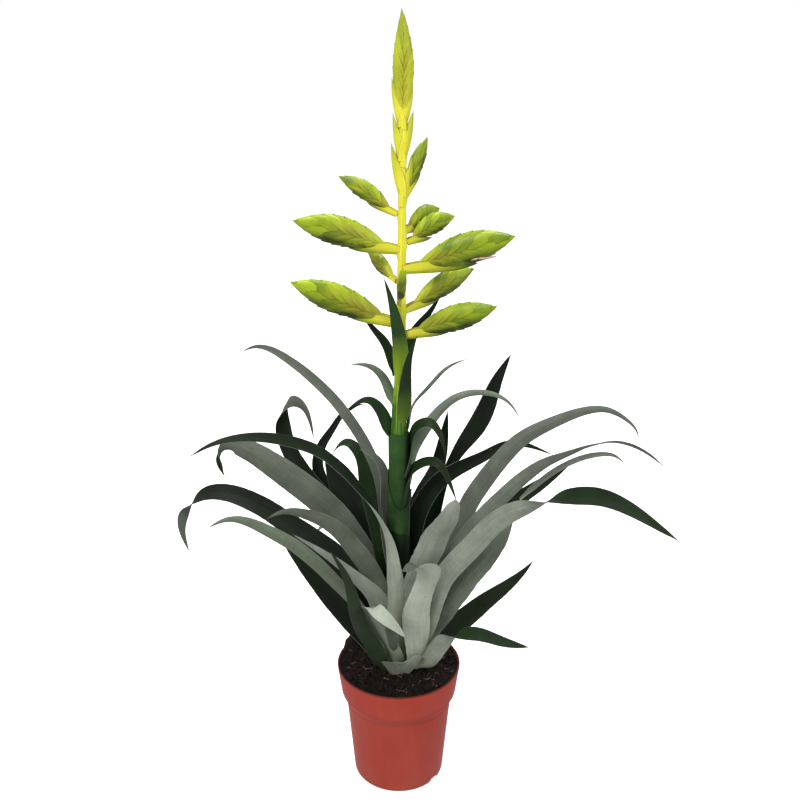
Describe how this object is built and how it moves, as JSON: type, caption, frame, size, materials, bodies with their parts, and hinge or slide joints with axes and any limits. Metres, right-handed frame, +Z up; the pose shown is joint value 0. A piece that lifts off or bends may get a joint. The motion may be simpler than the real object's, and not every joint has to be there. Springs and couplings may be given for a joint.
{
  "type": "potted bromeliad",
  "caption": "Flowering bromeliad with arching strap leaves and a tall stalk of flat flower spikes, in a round tapered nursery pot filled with soil.",
  "frame": {"origin": "centre of the flat underside of the pot, on the surface that the pot stands on", "axes": "+Z up along the pot's axis, -Y towards the front of the plant, +X to the right seen from the front"},
  "size_m": [0.4333, 0.3804, 0.7195],
  "materials": {
    "pot": "matte terracotta red plastic",
    "soil": "moist dark peat with pale fibres",
    "stem": "satin green to yellow-green plant stalk",
    "leaf": "satin dark green upper side, matte silver-grey scales on the underside",
    "bract": "satin dark green",
    "spike": "satin lime green with yellow bases"
  },
  "bodies": {
    "root": {"pot": "pot", "soil": "soil", "stem": "stem", "leaf_left_high": "leaf", "leaf_left_long": "leaf", "leaf_left_broad": "leaf", "leaf_left_low": "leaf", "leaf_left_silver": "leaf", "leaf_front_left_thin": "leaf", "leaf_front_left_silver": "leaf", "leaf_left_short": "leaf", "leaf_front_left_upright": "leaf", "leaf_back_left_curled": "leaf", "leaf_back_left_thin": "leaf", "leaf_inner_left_curl": "leaf", "leaf_back_dark": "leaf", "leaf_inner_left_small": "leaf", "leaf_right_upright": "leaf", "leaf_inner_right": "leaf", "leaf_back_right_dark": "leaf", "leaf_right_high": "leaf", "leaf_right_middle": "leaf", "leaf_right_short_dark": "leaf", "leaf_right_long": "leaf", "leaf_right_broad": "leaf", "leaf_right_low": "leaf", "leaf_right_lowest": "leaf", "leaf_inner_silver": "leaf", "leaf_front_folded": "leaf", "leaf_front_curl": "leaf", "sheath_front_left": "leaf", "sheath_front": "leaf", "leaf_back_arch": "leaf", "leaf_back_right_low": "leaf", "leaf_back_left_low": "leaf", "bract_front_green": "bract", "bract_front_dark": "bract", "bract_left_upper": "bract", "bract_right_upper": "bract", "bract_left_middle": "bract", "bract_left_lower": "bract", "bract_right_thin": "bract", "bract_right_curl": "bract", "bract_right_arch": "bract", "bract_right_low": "bract", "spike_left_upper": "spike", "spike_left_middle": "spike", "spike_left_lower": "spike", "spike_back_left": "spike", "spike_back_right": "spike", "spike_right_upper": "spike", "spike_right_middle": "spike", "spike_right_inner": "spike", "spike_right_lower": "spike", "spike_front": "spike", "spike_top_right_outer": "spike", "spike_top_left_lower": "spike", "spike_top_right_inner": "spike", "spike_top_left_upper": "spike", "spike_top": "spike"}
  },
  "joints": []
}
